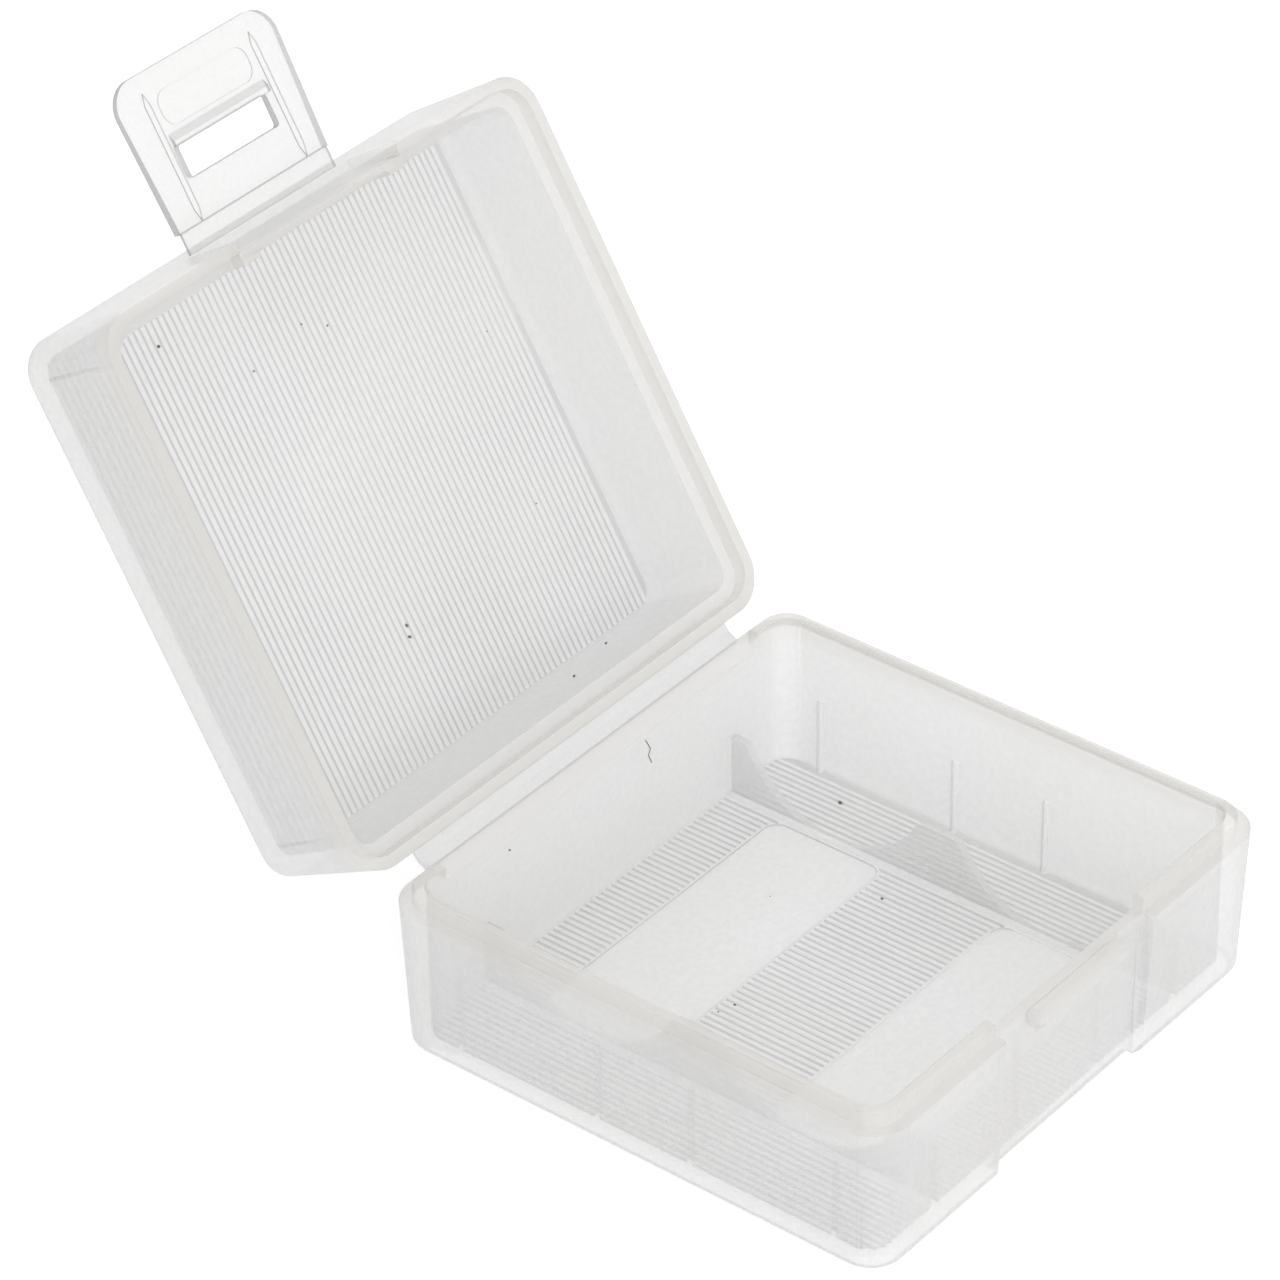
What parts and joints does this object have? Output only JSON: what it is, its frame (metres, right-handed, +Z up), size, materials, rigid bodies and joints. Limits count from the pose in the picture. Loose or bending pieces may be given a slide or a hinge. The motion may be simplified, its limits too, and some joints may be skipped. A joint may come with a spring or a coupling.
{
  "type": "battery storage box",
  "caption": "Hinged translucent plastic storage box for cylindrical cells, open, with a reeded interior, cell cradles and a flexible latch tab on the lid.",
  "frame": {"origin": "middle of the tray's flat underside", "axes": "+X along the lid's hinge, +Y towards the hinge side, +Z up out of the tray; the latch side faces -Y"},
  "size_m": [0.075, 0.1309, 0.0956],
  "materials": {
    "shell": "satin",
    "flexing_web": "satin"
  },
  "bodies": {
    "tray": {"base_tray": "shell", "lid_hinge": "flexing_web"},
    "lid": {"lid": "shell", "latch_hinge": "flexing_web"},
    "latch": {"latch_tab": "shell"}
  },
  "joints": [
    {"name": "lid_swing", "type": "hinge", "parent": "tray", "child": "lid", "pos_m": [0, 0.03717, 0.02031], "axis": [-1, 0, 0], "range_deg": [-121.1, 58.9], "deforming": ["lid_hinge"]},
    {"name": "latch_swing", "type": "hinge", "parent": "lid", "child": "latch", "pos_m": [0, 0.0825, 0.0785], "axis": [1, 0, 0], "range_deg": [-25, 90], "deforming": ["latch_hinge"]}
  ]
}
